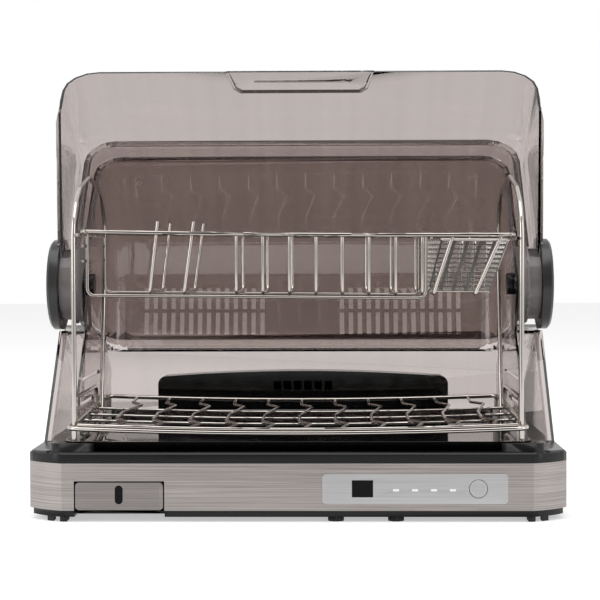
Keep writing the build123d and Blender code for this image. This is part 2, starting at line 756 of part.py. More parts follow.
with BuildPart() as lid:
    lid_body(lid_radius, lid_half, lid_round, lid_run + edge_lead)
    side_prism(lid_half + overrun, *lid_region)
    add(lid_rim_part.part)
    lid_body(lid_radius - wall, lid_inner, lid_round - wall, lid_run + 2 * edge_lead, Mode.SUBTRACT)
    add(lid_catch.part)
    hub_disc(middle_half + boss_gap, lid_half, lid_boss_radius, Mode.ADD, hub_sides)
    add(grip_part(wall, wall, (0, -wall), (0, grip_edge_rise), (grip_length + wall, grip_rise),
                  (grip_length + wall, -wall)))
    add(grip_part(0, 0, (-overrun, -wall - overrun), (-overrun, grip_edge_rise - wall),
                  (grip_length, grip_rise - wall), (grip_length, -wall - overrun)), mode=Mode.SUBTRACT)
    with BuildPart(mode=Mode.PRIVATE) as ridge:
        ridge_slope = (grip_rise - grip_edge_rise) / (grip_length + wall)
        ridge_back = ridge_place + ridge_thickness
        ridge_low = grip_edge_rise + ridge_slope * ridge_place
        ridge_high = grip_edge_rise + ridge_slope * ridge_back
        with BuildSketch(Plane.YZ) as ridge_side:
            with BuildLine() as ridge_edge:
                Polyline(grip_place(ridge_place, ridge_low - wall / 2),
                         grip_place(ridge_back, ridge_high - wall / 2),
                         grip_place(ridge_back, ridge_high + ridge_height),
                         grip_place(ridge_place, ridge_low + ridge_height), close=True)
            make_face(ridge_edge.edges())
        extrude(ridge_side.sketch, amount=ridge_width / 2, both=True)
    add(ridge.part)
    hub_disc(middle_half - overrun, lid_half + overrun, bore_radius, Mode.SUBTRACT)
finish(lid, "lid")

# Side hubs: a pin with a stop head inside each side wall, and a round cap outside
cap_inner = lid_half + boss_gap
cap_thickness = 11.0
cap_outer = lid_half + cap_thickness
cap_face = 3.3
cap_round = 2.4
cap_dish_radius = 34.0
cap_dish = 1.2
pin_head_radius = 11.0
pin_head_reach = 10.0
pin_head_inner = rear_half - pin_head_reach
with BuildPart() as hinge_pins:
    hub_disc(pin_head_inner, cap_outer - cap_face, hub_pin_radius)
    hub_disc(pin_head_inner, rear_half - wall - fit_gap, pin_head_radius, Mode.ADD, disc_sides)
finish(hinge_pins, "hinge_pins")

with BuildPart() as hub_caps:
    hub_disc(cap_inner, cap_outer, cap_radius, Mode.ADD, hub_sides)
    chamfer(hub_caps.edges().group_by(Axis.X)[0], cap_round)
    chamfer(hub_caps.edges().group_by(Axis.X)[-1], cap_round)
    hub_disc(cap_outer - cap_dish, cap_outer + overrun, cap_dish_radius, Mode.SUBTRACT, hub_sides)
    hub_disc(cap_inner - overrun, cap_outer - cap_face, bore_radius, Mode.SUBTRACT)
finish(hub_caps, "hub_caps")

# Warm air outlet: arched housing on the deck behind the tray, over the duct
outlet_half = 162.0
outlet_front_depth = 338.0
outlet_rear_depth = 366.0
outlet_shoulder = 107.5
outlet_crown = 114.0
outlet_corner = 9.0
louvre_count = 6
louvre_pitch = 11.4
louvre_width = 8.6
louvre_bottom = 93.0
louvre_height = 10.0
with BuildPart() as air_outlet:
    for mode, inset, front, rear in ((Mode.ADD, 0, outlet_front_depth, outlet_rear_depth),
                                     (Mode.SUBTRACT, wall, outlet_front_depth + wall,
                                      outlet_rear_depth - wall)):
        with BuildSketch(Plane.XZ.offset(-at(front))) as face:
            with BuildLine():
                side = outlet_half - inset
                Line((-side, rim_top), (side, rim_top))
                Line((side, rim_top), (side, outlet_shoulder - inset))
                ThreePointArc((side, outlet_shoulder - inset), (0, outlet_crown - inset),
                              (-side, outlet_shoulder - inset))
                Line((-side, outlet_shoulder - inset), (-side, rim_top))
            make_face()
            fillet(face.vertices().group_by(Axis.Y)[-1], outlet_corner - inset)
        extrude(amount=front - rear, mode=mode)
    with BuildSketch(Plane.XZ.offset(-at(outlet_front_depth + wall + overrun))):
        with Locations((0, louvre_bottom + louvre_height / 2)):
            with GridLocations(louvre_pitch, 0, louvre_count, 1):
                Rectangle(louvre_width, louvre_height)
    extrude(amount=wall + 2 * overrun, mode=Mode.SUBTRACT)
finish(air_outlet, "air_outlet")

# Fan and heater in the base, under the deck
fan_x = 60.0
fan_depth = 268.0
casing_radius = 62.0
casing_wall = 2.0
casing_top = 46.0
duct_wall_half = duct_half + casing_wall
intake_radius = 36.0
motor_radius = 20.0
motor_top = 19.0
shaft_radius = 2.5
shaft_top = 36.0
rotor_radius = 48.0
rotor_inner = 36.0
rotor_disc = 2.0
rotor_bottom = 21.0
rotor_top = 42.0
rotor_hub_radius = 7.0
rotor_hub_top = 33.0
blade_count = 12
blade_thickness = 1.2
blade_lean = 30.0
casing_floor = pan_floor + casing_wall
with BuildPart() as fan_casing:
    for mode, inset, low, high in ((Mode.ADD, 0, pan_floor, casing_top),
                                   (Mode.SUBTRACT, casing_wall, casing_floor, casing_top - casing_wall)):
        with BuildSketch(Plane.XY.offset(low)):
            with Locations((fan_x, at(fan_depth))):
                RegularPolygon(casing_radius - inset, disc_sides)
            with Locations(((fan_x + casing_radius - duct_wall_half) / 2,
                            at((fan_depth + duct_rear_depth) / 2))):
                Rectangle(fan_x + casing_radius + duct_wall_half - 2 * inset,
                          duct_rear_depth - fan_depth - 2 * inset)
        extrude(amount=high - low, mode=mode)
    block(-duct_wall_half, duct_wall_half, at(duct_front_depth - casing_wall), at(duct_rear_depth),
          casing_top - casing_wall,
          band_top)
    block(-duct_half, duct_half, at(duct_front_depth), at(duct_rear_depth - casing_wall),
          casing_top - 2 * casing_wall, band_top + overrun, Mode.SUBTRACT)
    with Locations((fan_x, at(fan_depth), casing_top)):
        Hole(intake_radius, depth=2 * casing_wall)
finish(fan_casing, "fan_casing")

with BuildPart() as fan_motor:
    with BuildSketch(Plane.XY.offset(casing_floor)):
        with Locations((fan_x, at(fan_depth))):
            RegularPolygon(motor_radius, disc_sides)
    extrude(amount=motor_top - casing_floor)
    with BuildSketch(Plane.XY.offset(motor_top)):
        with Locations((fan_x, at(fan_depth))):
            Circle(shaft_radius)
    extrude(amount=shaft_top - motor_top)
finish(fan_motor, "fan_motor")

with BuildPart() as fan_rotor:
    with BuildSketch(Plane.XY.offset(rotor_bottom)):
        with Locations((fan_x, at(fan_depth))):
            RegularPolygon(rotor_radius, disc_sides)
    extrude(amount=rotor_disc)
    with BuildSketch(Plane.XY.offset(rotor_bottom)):
        with Locations((fan_x, at(fan_depth))):
            RegularPolygon(rotor_hub_radius, small_disc_sides)
    extrude(amount=rotor_hub_top - rotor_bottom)
    with BuildSketch(Plane.XY.offset(rotor_bottom)):
        with Locations((fan_x, at(fan_depth))):
            with PolarLocations((rotor_radius + rotor_inner) / 2, blade_count):
                Rectangle(rotor_radius - rotor_inner - blade_thickness, blade_thickness,
                          rotation=blade_lean)
    extrude(amount=rotor_top - rotor_bottom)
    with BuildSketch(Plane.XY.offset(rotor_top - rotor_disc)):
        with Locations((fan_x, at(fan_depth))):
            RegularPolygon(rotor_radius, disc_sides)
            RegularPolygon(rotor_inner + blade_thickness, disc_sides, mode=Mode.SUBTRACT)
    extrude(amount=rotor_disc)
    with Locations((fan_x, at(fan_depth), rotor_hub_top)):
        Hole(shaft_radius + shaft_gap)
finish(fan_rotor, "fan_rotor")

heater_half = 40.0
heater_front_depth = 340.0
heater_length = 16.0
heater_top = 40.0
heater_rail = 3.0
fin_count = 17
fin_thickness = 1.0
with BuildPart() as heater:
    for low in (casing_floor, heater_top - heater_rail):
        block(-heater_half, heater_half, at(heater_front_depth), at(heater_front_depth + heater_length),
              low,
              low + heater_rail)
    with Locations((0, at(heater_front_depth + heater_length / 2), (casing_floor + heater_top) / 2)):
        with GridLocations(2 * (heater_half - fin_thickness) / (fin_count - 1), 0, fin_count, 1):
            Box(fin_thickness, heater_length, heater_top - casing_floor)
finish(heater, "heater")

# Flanged bushing in the rear wall where the mains lead enters
bushing_flange = 9.5
bushing_proud = 1.4
bushing_bore = 3.6
with BuildPart() as power_inlet:
    with BuildSketch(Plane.XZ.offset(-rear_y + pan_inset)):
        with Locations((inlet_x, inlet_z)):
            RegularPolygon(bushing_flange, disc_sides)
    extrude(amount=-bushing_proud - pan_inset)
    with BuildSketch(Plane.XZ.offset(-rear_y + pan_inset)):
        with Locations((inlet_x, inlet_z)):
            Circle(inlet_radius - shaft_gap)
    extrude(amount=2 * wall)
    with BuildSketch(Plane.XZ.offset(-rear_y)):
        with Locations((inlet_x, inlet_z)):
            RegularPolygon(bushing_bore, small_disc_sides)
    extrude(amount=3 * wall, both=True, mode=Mode.SUBTRACT)
finish(power_inlet, "power_inlet")

# Lower rack: a rim on four sleeved legs, cross rods, and wave wires lying on the rods
wave_count = 11
wave_side_room = 33.6
wave_pitch = 2 * (rack_half - wave_side_room) / (wave_count - 1)
wave_swing = 12.0
cross_depths = (66.0, 110.0, 154.0, 206.0)
wave_shares = ((0, 0), (0.15, 0.07), (1, 0.25), (0, 0.335), (0, 0.52), (1, 0.775), (0, 0.85), (0, 1))
rack_slope = rack_rise / rack_length
rack_rear_depth = rack_front_depth + rack_length
tray_inside = tray_base + tray_wall
rim_bend = 6.0
lie_gap = 0.02
wave_end_gap = 0.2
rod_drop = rail_radius + rod_radius


def rack_z(depth):
    return rack_front_height + rack_slope * (depth - rack_front_depth)


with BuildPart() as lower_rack_rim:
    rack_rim(rail_radius, rim_bend, rack_half, rack_front_depth, rack_rear_depth, rack_z, rack_sag)
finish(lower_rack_rim, "lower_rack_rim")

with BuildPart() as lower_rack_rods:
    for depth in cross_depths:
        bent_wire(rod_radius, rim_bend, *sagging_bar(rack_half, depth,
                                                     rack_z(depth) - rod_drop - lie_gap, rack_sag,
                                                     rack_half))
    bent_wire(rod_radius, rim_bend, *sagging_bar(rack_half, rack_front_depth,
                                                 rack_front_height + rod_drop + lie_gap,
                                                 rack_sag, rack_half - rim_bend))
finish(lower_rack_rods, "lower_rack_rods")

wave_lift = 2 * rod_radius - rod_drop
wave_start = rack_front_depth + rail_radius + wave_end_gap
wave_length = rack_length - 2 * (rail_radius + wave_end_gap)
with BuildPart() as lower_rack_waves:
    for index in range(wave_count):
        wave_x = (index - (wave_count - 1) / 2) * wave_pitch
        places = []
        for swing, share in wave_shares:
            depth = wave_start + share * wave_length
            place_x = wave_x + swing * wave_swing
            places.append((place_x, at(depth),
                           rack_z(depth) + wave_lift - sag(place_x, rack_half, rack_sag)))
        with BuildLine() as route:
            Polyline(*places)
        with BuildSketch(Plane(origin=route.line @ 0, z_dir=route.line % 0)) as section:
            RegularPolygon(rod_radius, 6)
        sweep(section.sketch, path=route.line, transition=Transition.RIGHT)
finish(lower_rack_waves, "lower_rack_waves")

# Front legs run on as side guards to a post on the rim, rear legs end just above the rim
front_leg_depth = 37.5
rear_leg_depth = 262.0
guard_post_depth = 175.0
guard_top = 111.0
guard_bend = 9.0
rear_leg_rise = 4.0
sleeve_radius = 3.6
sleeve_foot = 1.2
sleeve_length = 16.0
leg_x = rack_half - 2 * rail_radius
leg_foot = tray_inside + fit_gap + sleeve_foot
with BuildPart() as lower_rack_legs:
    for side in (-1, 1):
        bent_wire(rail_radius, guard_bend, (side * leg_x, at(front_leg_depth), leg_foot),
                  (side * leg_x, at(front_leg_depth), guard_top),
                  (side * leg_x, at(guard_post_depth), guard_top),
                  (side * leg_x, at(guard_post_depth), rack_z(guard_post_depth) - rail_radius))
        bent_wire(rail_radius, rim_bend, (side * leg_x, at(rear_leg_depth), leg_foot),
                  (side * leg_x, at(rear_leg_depth), rack_z(rear_leg_depth) + rear_leg_rise))
finish(lower_rack_legs, "lower_rack_legs")

with BuildPart() as leg_sleeves:
    for side in (-1, 1):
        for depth in (front_leg_depth, rear_leg_depth):
            with BuildSketch(Plane.XY.offset(tray_inside + fit_gap)):
                with Locations((side * leg_x, at(depth))):
                    RegularPolygon(sleeve_radius, wire_sides, major_radius=False, rotation=180 / wire_sides)
            extrude(amount=sleeve_length)
            with BuildSketch(Plane.XY.offset(tray_inside + fit_gap + sleeve_foot)):
                with Locations((side * leg_x, at(depth))):
                    RegularPolygon(rail_radius + shaft_gap, wire_sides, major_radius=False,
                                   rotation=180 / wire_sides)
            extrude(amount=sleeve_length, mode=Mode.SUBTRACT)
finish(leg_sleeves, "leg_sleeves")

# Side arches: one bent rail each side from the front foot over the hub line and down the back,
# each with an inner rail that carries the upper rack
arch_x = rack_half - 2 * rail_radius
arch_front_depth = 30.0
arch_rise = 257.0
arch_foot = tray_inside + fit_gap
arch_bend = 40.0
arch_reach = 216.0
arch_shares = ((0, 0), (0, 0.856), (0.213, 0.952), (0.495, 1), (0.824, 0.96), (0.986, 0.856), (1, 0.707),
               (0.835, 0.06), (0.835, 0))
hang_height = 261.5
hang_radius = 1.5
hang_x = arch_x - rail_radius - hang_radius
hang_front_depth = 27.0
hang_length = 222.0
with BuildPart() as side_arches:
    for side in (-1, 1):
        bent_wire(rail_radius, arch_bend,
                  *[(side * arch_x, at(arch_front_depth + share_y * arch_reach),
                     arch_foot + share_z * arch_rise)
                    for share_y, share_z in arch_shares])
finish(side_arches, "side_arches")

with BuildPart() as hanging_rails:
    for side in (-1, 1):
        bent_wire(hang_radius, rim_bend, (side * hang_x, at(hang_front_depth), hang_height),
                  (side * hang_x, at(hang_front_depth + hang_length), hang_height))
finish(hanging_rails, "hanging_rails")

# Upper rack: rim on the hanging rails, two long loops below it, plate wires and slanted cup wires
upper_radius = 2.0
upper_step = 0.9
loop_end_step = 4.6
loop_short = 82.6
upper_half = hang_x - upper_step
upper_front_depth = 52.0
upper_rear_depth = 182.0
upper_height = hang_height + hang_radius + upper_radius
loop_bottom = 204.5
loop_left = upper_half - loop_end_step
loop_right = upper_half - loop_short
upper_bend = 7.0
upper_rim_bend = 4.0
basket_bend = 1.2
loop_front_depth = upper_front_depth + upper_radius + rod_radius
loop_rear_depth = upper_rear_depth - upper_radius - rod_radius
plate_wire_count = 8
plate_wire_first = -58.0
plate_wire_pitch = 25.1
plate_wire_bottom = loop_bottom + 2 * rod_radius
cup_wires = ((-140.0, -132.0), (-107.5, -98.0))
cup_wire_rise = 10.4
basket_wires = ((128.2, 146.5), (167.2, 192.1))
end_bar_heights = (253.2, 239.0)
end_bar_front_depth = 46.0
end_bar_rear_depth = 187.0


def cradle_wire(bend, bottom_x, top_x, bottom_z, top_z):
    bent_wire(rod_radius, bend, (top_x, at(loop_front_depth), top_z),
              (bottom_x, at(loop_front_depth), bottom_z),
              (bottom_x, at(loop_rear_depth), bottom_z), (top_x, at(loop_rear_depth), top_z))


def upper_level(depth):
    return upper_height


with BuildPart() as upper_rack_rim:
    rack_rim(upper_radius, upper_rim_bend, upper_half, upper_front_depth, upper_rear_depth, upper_level,
             upper_sag)
finish(upper_rack_rim, "upper_rack_rim")

with BuildPart() as upper_rack_loops:
    for depth in (loop_front_depth, loop_rear_depth):
        bent_wire(rod_radius, upper_bend,
                  (-loop_left, at(depth), upper_height - sag(loop_left, upper_half, upper_sag)),
                  (-loop_left, at(depth), loop_bottom), (loop_right, at(depth), loop_bottom),
                  (loop_right, at(depth), upper_height - sag(loop_right, upper_half, upper_sag)))
    for height in end_bar_heights:
        bent_wire(rod_radius, upper_bend, (-loop_left - 2 * rod_radius, at(end_bar_front_depth), height),
                  (-loop_left - 2 * rod_radius, at(end_bar_rear_depth), height))
finish(upper_rack_loops, "upper_rack_loops")

with BuildPart() as plate_wires:
    for index in range(plate_wire_count):
        wire_x = plate_wire_first + index * plate_wire_pitch
        cradle_wire(upper_bend, wire_x, wire_x, plate_wire_bottom,
                    upper_height - sag(wire_x, upper_half, upper_sag))
finish(plate_wires, "plate_wires")

with BuildPart() as cup_wires_part:
    for bottom_x, top_x in cup_wires:
        cradle_wire(upper_bend, bottom_x, top_x, plate_wire_bottom, upper_height + cup_wire_rise)
finish(cup_wires_part, "cup_wires")

with BuildPart() as basket_wires_part:
    for bottom_x, top_x in basket_wires:
        cradle_wire(basket_bend, bottom_x, top_x, loop_bottom,
                    upper_height - sag(top_x, upper_half, upper_sag))
finish(basket_wires_part, "basket_wires")

# Cutlery basket: open box of perforated sheet resting on the basket wires inside the rack
basket_sheet = 0.8
basket_left_room = 1.0
basket_right_room = 3.6
basket_left = loop_right + basket_left_room
basket_right = upper_half - basket_right_room
basket_gap = 0.4
basket_top = 262.0
basket_corner = 4.0
basket_holes_long = 10
basket_holes_end = 6
basket_rows = 4
basket_hole = 5.0
basket_front_depth = loop_front_depth + rod_radius + basket_gap
basket_rear_depth = loop_rear_depth - rod_radius - basket_gap
basket_floor = loop_bottom + rod_radius + fit_gap
basket_middle = ((basket_left + basket_right) / 2, at((basket_front_depth + basket_rear_depth) / 2))
with BuildPart() as cutlery_basket:
    for mode, inset, low in ((Mode.ADD, 0, basket_floor), (Mode.SUBTRACT, basket_sheet,
                                                           basket_floor + basket_sheet)):
        with BuildSketch(Plane.XY.offset(low)):
            make_face(soft_rectangle(*basket_middle, basket_right - basket_left - 2 * inset,
                                     basket_rear_depth - basket_front_depth - 2 * inset,
                                     basket_corner - inset))
        extrude(amount=basket_top - low + inset, mode=mode)
    with Locations((basket_middle[0], basket_middle[1], (basket_floor + basket_top) / 2)):
        with GridLocations(0, (basket_rear_depth - basket_front_depth) / (basket_holes_long + 1), 1,
                           basket_holes_long):
            Box(basket_right - basket_left + overrun, basket_hole,
                basket_top - basket_floor - 4 * basket_hole,
                mode=Mode.SUBTRACT)
        with GridLocations((basket_right - basket_left) / (basket_holes_end + 1), 0, basket_holes_end, 1):
            Box(basket_hole, basket_rear_depth - basket_front_depth + overrun,
                basket_top - basket_floor - 4 * basket_hole, mode=Mode.SUBTRACT)
finish(cutlery_basket, "cutlery_basket")
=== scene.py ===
import json
import math

import bmesh
import bpy
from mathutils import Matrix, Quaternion, Vector


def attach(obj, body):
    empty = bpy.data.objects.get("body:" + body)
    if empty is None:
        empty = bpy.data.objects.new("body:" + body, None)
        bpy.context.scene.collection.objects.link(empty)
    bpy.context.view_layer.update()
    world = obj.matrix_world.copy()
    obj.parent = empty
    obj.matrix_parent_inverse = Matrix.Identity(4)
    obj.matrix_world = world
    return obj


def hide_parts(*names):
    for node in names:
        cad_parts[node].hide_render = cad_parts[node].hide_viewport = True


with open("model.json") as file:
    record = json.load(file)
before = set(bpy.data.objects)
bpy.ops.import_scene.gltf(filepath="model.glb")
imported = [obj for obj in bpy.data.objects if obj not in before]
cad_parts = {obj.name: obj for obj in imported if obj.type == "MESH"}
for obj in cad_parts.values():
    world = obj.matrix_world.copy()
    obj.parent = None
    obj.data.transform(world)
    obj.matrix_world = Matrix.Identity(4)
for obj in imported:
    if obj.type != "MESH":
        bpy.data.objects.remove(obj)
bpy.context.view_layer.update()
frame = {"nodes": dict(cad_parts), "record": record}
cad = frame["nodes"]
record = frame["record"]
bodyOf = {node: body for body, members in record["behaviour"]["bodies"].items() for node in members}
scene = bpy.context.scene
scene.view_settings.view_transform = "Standard"

mm = 0.001
baseFront = -0.200   # the front of the base, from which all depths are counted back in millimetres
lidHinge = next(joint for joint in record["behaviour"]["joints"] if joint["name"] == "lid_hinge")
hubY, hubZ = lidHinge["pos_m"][1:]   # axis of the side hubs


def at(depth):
    return baseFront + depth * mm


# Tools for materials

def linear(code):
    # a hex code through the sRGB curve
    parts = [int(code[i:i + 2], 16) / 255 for i in (1, 3, 5)]
    return tuple(p / 12.92 if p <= 0.04045 else ((p + 0.055) / 1.055) ** 2.4 for p in parts) + (1.0,)


def shaded(colour, factor):
    return tuple(min(c * factor, 1.0) for c in colour[:3]) + (1.0,)


def addNode(tree, kind, links=None, **settings):
    node = tree.nodes.new(kind)
    for name, value in settings.items():
        setattr(node, name, value)
    for socket, source in (links or {}).items():
        if isinstance(source, bpy.types.NodeSocket):
            tree.links.new(source, node.inputs[socket])
        else:
            node.inputs[socket].default_value = source
    return node


def newMaterial(name):
    material = bpy.data.materials.new(name)
    material.use_nodes = True
    tree = material.node_tree
    tree.nodes.clear()
    output = addNode(tree, "ShaderNodeOutputMaterial")
    return material, tree, output


def objectPlace(tree):
    return addNode(tree, "ShaderNodeTexCoord").outputs["Object"]


def stretched(tree, place, scale):
    return addNode(tree, "ShaderNodeMapping", {"Vector": place, "Scale": scale}).outputs[0]


def addNoise(tree, place, scale, detail, roughness=0.5):
    noise = addNode(tree, "ShaderNodeTexNoise", {"Vector": place, "Scale": scale, "Detail": detail,
                                                 "Roughness": roughness})
    return noise.outputs[0]


def addRange(tree, value, span, low=0.0, high=1.0):
    ranged = addNode(tree, "ShaderNodeMapRange", {"Value": value, "From Min": span[0], "From Max": span[1],
                                                  "To Min": low, "To Max": high})
    return ranged.outputs[0]


def addBump(tree, height, strength, depth):
    bump = addNode(tree, "ShaderNodeBump", {"Height": height, "Strength": strength, "Distance": depth})
    return bump.outputs[0]


def addBlend(tree, factor, low, high):
    mix = addNode(tree, "ShaderNodeMix", {0: factor, 6: low, 7: high}, data_type="RGBA")
    return mix.outputs[2]


def finishMaterial(tree, output, links):
    shader = addNode(tree, "ShaderNodeBsdfPrincipled", links)
    tree.links.new(shader.outputs[0], output.inputs[0])


# Materials

# the rim, slot wall and lip tints are darker copies of the same polycarbonate: painted shade for the dark
# that rims, slot walls, the catch, the grip's sides and the lid's sides show edge on
smoked = dict(tint="#c4bbb8", rim="#4a3f3c", paintedShadeSlotWall="#6d605f", lip="#9d9491", ior=1.46,
              ripple=0.05, rippleScale=9.0, rippleDepth=0.004, haze=0.03, hazeScale=30.0, hazeSpan=(0.3, 0.7),
              streak=0.05, streakScale=(70.0, 1.5, 1.5))


def smokedPolycarbonate(name, tint):
    # polycarbonate, injection moulded and polished: clear smoked brown, faint ripple and flow streaks
    material, tree, output = newMaterial(name)
    place = objectPlace(tree)
    ripple = addNoise(tree, place, smoked["rippleScale"], detail=1.0)
    smear = addNoise(tree, place, smoked["hazeScale"], detail=3.0)
    streaks = addNoise(tree, stretched(tree, place, smoked["streakScale"]), 1.0, detail=3.0)
    clear = linear(tint)
    deeper = shaded(clear, 1 - smoked["streak"])
    paler = shaded(clear, 1 + smoked["streak"])
    finishMaterial(tree, output, {
        "Base Color": addBlend(tree, streaks, deeper, paler),
        "Roughness": addRange(tree, smear, smoked["hazeSpan"], 0.0, smoked["haze"]),
        "IOR": smoked["ior"],
        "Transmission Weight": 1.0,
        "Normal": addBump(tree, ripple, smoked["ripple"], smoked["rippleDepth"])})
    return material


brushed = dict(lineScale=(6.0, 6.0, 1400.0), lineSpan=(0.35, 0.65), lineRoughness=0.75, relief=0.2,
               reliefDepth=0.0002)


def brushedStainless(name, colour, dark, roughness):
    # stainless sheet brushed along its length: fine lines run left to right, reflections smear up and down
    material, tree, output = newMaterial(name)
    along = stretched(tree, objectPlace(tree), brushed["lineScale"])
    lines = addNoise(tree, along, 1.0, detail=4.0, roughness=brushed["lineRoughness"])
    share = addRange(tree, lines, brushed["lineSpan"])
    finishMaterial(tree, output, {
        "Base Color": addBlend(tree, share, linear(dark), linear(colour)),
        "Metallic": 1.0,
        "Roughness": roughness,
        "Normal": addBump(tree, lines, brushed["relief"], brushed["reliefDepth"])})
    return material


plain = dict(cloudScale=14.0, cloudSpan=(0.3, 0.7), roughnessSwing=0.04, leastRoughness=0.02, toneSwing=0.06,
             grainDepth=0.0002)


def plainFinish(name, colour, roughness, metallic=0.0, grain=0.0, grainScale=800.0, sheen=0.5, clear=0.0):
    # one colour and gloss, both slightly uneven, with a fine grain where one is given
    material, tree, output = newMaterial(name)
    place = objectPlace(tree)
    clouds = addNoise(tree, place, plain["cloudScale"], detail=3.0)
    smoothest = max(roughness - plain["roughnessSwing"], plain["leastRoughness"])
    roughest = roughness + plain["roughnessSwing"]
    shade = linear(colour)
    links = {
        "Base Color": addBlend(tree, clouds, shaded(shade, 1 - plain["toneSwing"]), shade),
        "Roughness": addRange(tree, clouds, plain["cloudSpan"], smoothest, roughest),
        "Metallic": metallic,
        "Specular IOR Level": sheen,
        "Transmission Weight": clear}
    if grain:
        fine = addNoise(tree, place, grainScale, detail=2.0)
        links["Normal"] = addBump(tree, fine, grain, plain["grainDepth"])
    finishMaterial(tree, output, links)
    return material


finishes = {
    # polycarbonate covers: the sheet, and darker copies for its rims, slot walls and lip, which are seen edge
    # on: their darker tints are painted shade
    "smoked": smokedPolycarbonate("smokedPolycarbonate", smoked["tint"]),
    "smokedPaintedShadeRim": smokedPolycarbonate("smokedPolycarbonatePaintedShadeRim", smoked["rim"]),
    "smokedPaintedShadeSlotWall": smokedPolycarbonate("smokedPolycarbonatePaintedShadeSlotWall", smoked["paintedShadeSlotWall"]),
    "smokedPaintedShadeLip": smokedPolycarbonate("smokedPolycarbonatePaintedShadeLip", smoked["lip"]),
    # the ends of the vent slots: an opaque dark satin, painted shade for the dark that the slots show edge on
    "ventEndPaintedShade": plainFinish("paintedShadeSlotEnd", "#2d2725", 0.4),
    # the covers' hub bosses are thick and left satin, so they look milky grey
    "hubDrum": plainFinish("satinSmokedBoss", "#aaa4a2", 0.32, clear=0.55),
    # brushed stainless sheet of the band and the drawer's face, and the satin silver control plate
    "band": brushedStainless("brushedStainlessBand", "#ada7a4", "#837d7a", 0.32),
    "drawerFace": brushedStainless("brushedDrawerFace", "#938d8a", "#757070", 0.34),
    "plate": brushedStainless("satinSilverPlate", "#bcbbbc", "#a9a8a9", 0.42),
    # the plate's side faces in a darker metal: painted shade for the dark border of the plate's recess
    "plateEdgePaintedShade": plainFinish("platePaintedShadeEdge", "#6c6a69", 0.35, metallic=1.0),
    # drawn stainless wire, electropolished after welding: mirror bright with a soft warm tone
    "wire": plainFinish("polishedStainlessWire", "#bfb9b3", 0.09, metallic=1.0, grain=0.05, grainScale=300.0),
    # the same wire in the upper rack's rim and loops, painted darker: a painted reflection of the dark room
    # that these level wires mirror
    "wirePaintedDarkReflection": plainFinish("polishedStainlessWirePaintedReflection", "#a19a94", 0.09, metallic=1.0, grain=0.05,
                             grainScale=300.0),
    # stainless sheet, punched and polished
    "basketSheet": plainFinish("polishedPunchedSheet", "#c6c1bb", 0.20, metallic=1.0, grain=0.05,
                               grainScale=500.0),
    # polypropylene of the base, drawer and pins, with a fine spark-eroded grain
    "black": plainFinish("satinBlackMoulding", "#101011", 0.30, grain=0.12, grainScale=1500.0, sheen=0.28),
    # glossy black acrylic of the display and sight windows
    "gloss": plainFinish("glossBlackMoulding", "#0a0a0a", 0.07, sheen=0.10),
    # polished moulding of the warm air outlet
    "outlet": plainFinish("glossBlackOutlet", "#070807", 0.12, sheen=0.35),
    # polished dark moulding of the drip tray
    "trayGloss": plainFinish("glossSmokedTray", "#131112", 0.05),
    # rubber of the feet and of the bushing round the mains lead
    "rubber": plainFinish("blackRubber", "#161616", 0.75, grain=0.25),
    # polypropylene hub caps, grained like the base
    "cap": plainFinish("satinBlackCap", "#1b1b1c", 0.30, grain=0.12, grainScale=1500.0),
    # milky acrylic lenses before the lamps, unlit
    "lens": plainFinish("milkyLens", "#f4f4f2", 0.30),
    # glass fibre circuit board under green solder mask
    "board": plainFinish("greenBoard", "#1d5a38", 0.5),
    # plain steel of the motor's can
    "motor": plainFinish("plainSteel", "#a0a0a0", 0.35, metallic=1.0),
    # bare aluminium of the heater's fins
    "fins": plainFinish("plainAluminium", "#c0c0c0", 0.35, metallic=1.0),
    # soft milky plastic sleeves on the rack's feet
    "sleeve": plainFinish("milkySleeve", "#dedbd6", 0.30),
}
print("finishes made")


# Moulded and sheet pieces: copies of the solids' meshes with smooth shading and finishes by region

def declare(piece, source):
    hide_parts(source)
    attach(piece, bodyOf[source])
    return piece


weldReach = 2e-6


def smoothCopy(source, finish, regions=(), sharpAngle=35):
    # each region is another finish and the test that tells its faces
    name = source + "_look"
    mesh = cad[source].data.copy()
    mesh.name = name
    work = bmesh.new()
    work.from_mesh(mesh)
    bmesh.ops.remove_doubles(work, verts=work.verts, dist=weldReach)
    work.to_mesh(mesh)
    work.free()
    mesh.materials.clear()
    for regionFinish in [finish] + [other for other, _ in regions]:
        mesh.materials.append(finishes[regionFinish])
    for face in mesh.polygons:
        face.use_smooth = True
        matches = [i for i, (_, belongs) in enumerate(regions, 1) if belongs(face.center, face.normal)]
        face.material_index = matches[0] if matches else 0
    mesh.set_sharp_from_angle(angle=math.radians(sharpAngle))
    piece = bpy.data.objects.new(name, mesh)
    scene.collection.objects.link(piece)
    modifier = piece.modifiers.new("faceWeights", "WEIGHTED_NORMAL")
    modifier.keep_sharp = True
    return declare(piece, source)


def hubReach(place):
    return math.hypot(place.y - hubY, place.z - hubZ)


dress = {
    "base_pan": "black", "top_deck": "black", "air_outlet": "outlet", "rubber_feet": "rubber",
    "display_window": "gloss", "sight_window": "gloss", "lamp_lenses": "lens", "select_button": "plate",
    "control_board": "board", "water_drawer": "black", "drip_tray": "trayGloss", "hinge_pins": "black",
    "hub_caps": "cap", "fan_casing": "black", "fan_motor": "motor", "fan_rotor": "black", "heater": "fins",
    "power_inlet": "rubber", "drawer_face": "drawerFace", "leg_sleeves": "sleeve",
}
for source, finish in dress.items():
    smoothCopy(source, finish)

steelBand = dict(sharpAngle=14)   # low, so that the bends to the slanted corners stay crisp
smoothCopy("steel_band", "band", sharpAngle=steelBand["sharpAngle"])

controlPlate = dict(frontShare=0.5)   # faces turned further from the front than this are the cut edge


def onPlateEdge(place, normal):
    return abs(normal.y) < controlPlate["frontShare"]


smoothCopy("control_plate", "plate", [("plateEdgePaintedShade", onPlateEdge)])

